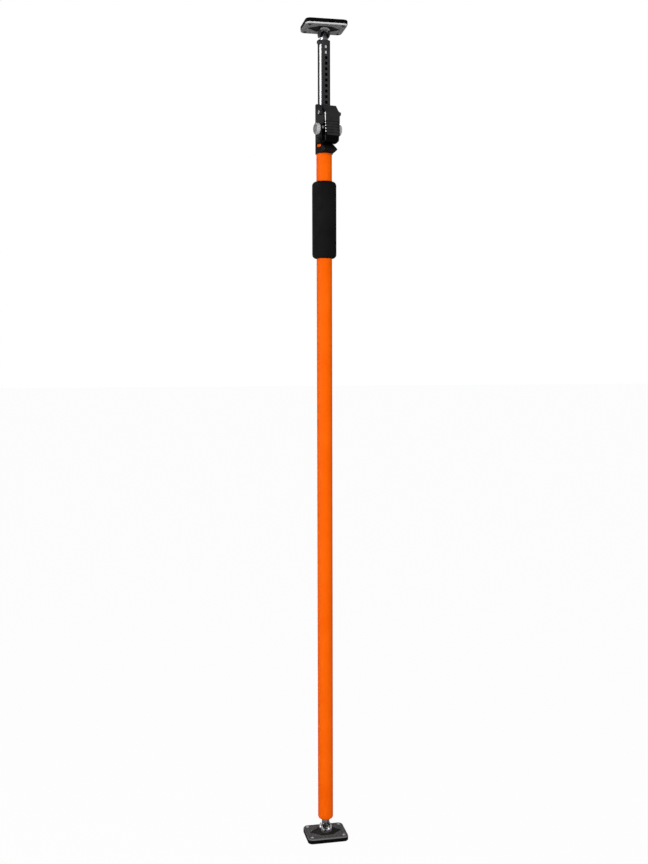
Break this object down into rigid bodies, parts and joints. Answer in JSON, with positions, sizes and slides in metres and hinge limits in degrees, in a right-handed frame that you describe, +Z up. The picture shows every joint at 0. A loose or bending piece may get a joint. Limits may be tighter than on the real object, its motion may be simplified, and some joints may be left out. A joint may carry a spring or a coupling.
{
  "type": "telescopic prop",
  "caption": "Telescopic prop: a slotted steel tube climbs in an orange outer tube by a ratchet head with a pump lever, between swivelling padded end plates.",
  "frame": {"origin": "middle of the foot pad's floor face, on the tubes' axis", "axes": "+Z up along the tubes; +X along the long side of the end plates, which is the swivels' hinge line; -Y is the lever's side"},
  "size_m": [0.087, 0.0837, 1.7],
  "materials": {
    "orange_paint": "smooth gloss powder coat",
    "black_nylon": "moulded",
    "dark_steel": "dark plated, semi-gloss",
    "dark_steel_fastener": "black oxide",
    "grip_foam": "closed-cell foam, matt",
    "black_paint": "fine-textured black paint",
    "lever_paint": "smooth black paint",
    "zinc_plate": "grey zinc plate",
    "knob_metal": "turned, satin",
    "hard_steel": "hardened, plain",
    "grey_plate": "grey textured coat",
    "pad_rubber": "moulded rubber, matt"
  },
  "bodies": {
    "frame": {"outer_tube": "orange_paint", "tube_bush": "black_nylon", "foam_grip": "grip_foam", "ratchet_body": "black_paint", "clamp_screw": "dark_steel_fastener", "clamp_nut": "zinc_plate", "lever_pivot_pin": "dark_steel", "holding_pawl_spring": "hard_steel", "foot_stem": "dark_steel"},
    "lever": {"pump_lever": "lever_paint", "lever_stop_pin": "zinc_plate", "lift_pawl_pin": "zinc_plate", "lift_pawl_spring": "hard_steel"},
    "lift_pawl": {"lift_pawl": "hard_steel"},
    "release": {"release_shaft": "zinc_plate", "release_knob_near": "knob_metal", "release_knob_far": "knob_metal", "holding_pawl": "hard_steel"},
    "inner": {"inner_tube": "dark_steel", "inner_guide": "black_nylon", "head_stem": "zinc_plate", "head_stem_rivet": "dark_steel"},
    "head_swivel": {"head_bracket": "zinc_plate", "head_pivot_pin": "zinc_plate", "head_plate": "grey_plate", "head_pad": "pad_rubber", "head_rivets": "dark_steel"},
    "foot_swivel": {"foot_bracket": "zinc_plate", "foot_pivot_pin": "zinc_plate", "foot_plate": "grey_plate", "foot_pad": "pad_rubber", "foot_rivets": "zinc_plate"}
  },
  "joints": [
    {"name": "inner_slide", "type": "slide", "parent": "frame", "child": "inner", "axis": [0, 0, 1], "range_m": [-0.0888, 1.1988]},
    {"name": "lever_pump", "type": "hinge", "parent": "frame", "child": "lever", "pos_m": [0.00548, -0.02817, 1.515], "axis": [-0.9816, -0.1908, 0], "range_deg": [0, 40]},
    {"name": "lift_pawl_swing", "type": "hinge", "parent": "lever", "child": "lift_pawl", "pos_m": [0.00315, -0.0162, 1.5098], "axis": [-0.9816, -0.1908, 0], "range_deg": [0, 22], "stiffness_Nm_per_rad": 0.02},
    {"name": "release_turn", "type": "hinge", "parent": "frame", "child": "release", "pos_m": [0.00395, -0.02032, 1.484], "axis": [-0.9816, -0.1908, 0], "range_deg": [-14, 10], "stiffness_Nm_per_rad": 0.2},
    {"name": "head_tilt", "type": "hinge", "parent": "inner", "child": "head_swivel", "pos_m": [0, 0, 1.679], "axis": [1, 0, 0], "range_deg": [-40, 40]},
    {"name": "foot_tilt", "type": "hinge", "parent": "frame", "child": "foot_swivel", "pos_m": [0, 0, 0.021], "axis": [1, 0, 0], "range_deg": [-40, 40]}
  ]
}
